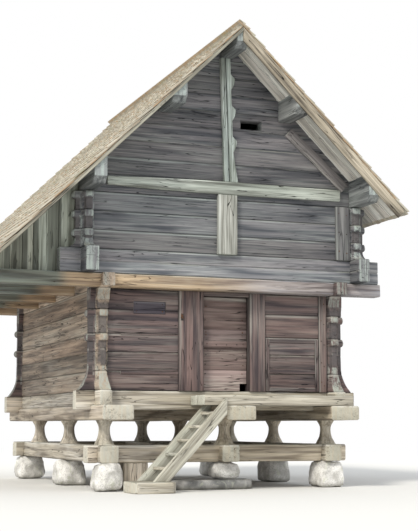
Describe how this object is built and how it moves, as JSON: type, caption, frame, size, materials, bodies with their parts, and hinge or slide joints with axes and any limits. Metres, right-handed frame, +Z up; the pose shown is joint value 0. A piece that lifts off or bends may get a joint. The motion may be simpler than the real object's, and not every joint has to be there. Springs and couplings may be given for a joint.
{
  "type": "raised granary",
  "caption": "Two-storey log granary on turned legs and stones, with a jettied upper floor, knobbed log corners, a shake roof, a door, a landing and a plank stair.",
  "frame": {"origin": "on the ground at the middle of the whole building's box", "axes": "+Z up, -Y towards the front with the door, +X to the right seen from the front"},
  "size_m": [7.1106, 7.4522, 7.448],
  "materials": {
    "stone": "rough natural stone",
    "base_timber": "weathered grey pine",
    "lower_log": "sun-tanned red-brown pine logs",
    "upper_log": "dark weathered pine logs",
    "jetty_timber": "orange-brown pine beams",
    "boards": "rough sawn pine boards",
    "roof_shake": "sun-bleached split shakes",
    "plank": "pale worn planks",
    "door_wood": "worn level door boards",
    "iron": "dark forged iron"
  },
  "bodies": {
    "root": {"foundation_stones": "stone", "slab_stone": "stone", "long_base_logs": "base_timber", "cross_base_logs": "base_timber", "legs": "base_timber", "sleepers": "base_timber", "cross_sills": "base_timber", "long_sills": "base_timber", "left_lower_wall": "lower_log", "right_lower_wall": "lower_log", "rear_lower_wall": "lower_log", "front_lower_wall": "lower_log", "front_hatch": "lower_log", "front_trim": "lower_log", "front_top_log": "lower_log", "door_posts": "lower_log", "door_head": "lower_log", "floors": "boards", "floor_beams": "jetty_timber", "front_upper_wall": "upper_log", "rear_upper_wall": "upper_log", "left_upper_wall": "upper_log", "right_upper_wall": "upper_log", "purlins": "upper_log", "wall_plates": "upper_log", "gallery_plate": "upper_log", "gallery_boarding": "boards", "front_gable": "upper_log", "rear_gable": "upper_log", "tie_log": "upper_log", "king_posts": "upper_log", "face_planks": "upper_log", "left_roof_deck": "boards", "right_roof_deck": "boards", "left_roof_cover": "roof_shake", "right_roof_cover": "roof_shake", "left_bargeboards": "boards", "right_bargeboards": "boards", "landing": "plank", "stair_stringers": "plank", "stair_treads": "plank", "foot_blocks": "base_timber", "door_pintles": "iron"},
    "door": {"door_leaf": "door_wood", "door_straps": "iron"}
  },
  "joints": [
    {"name": "door_hinge", "type": "hinge", "parent": "root", "child": "door", "pos_m": [1.07425, -2.45886, 2.32], "axis": [0, 0, -1], "range_deg": [0, 95]}
  ]
}
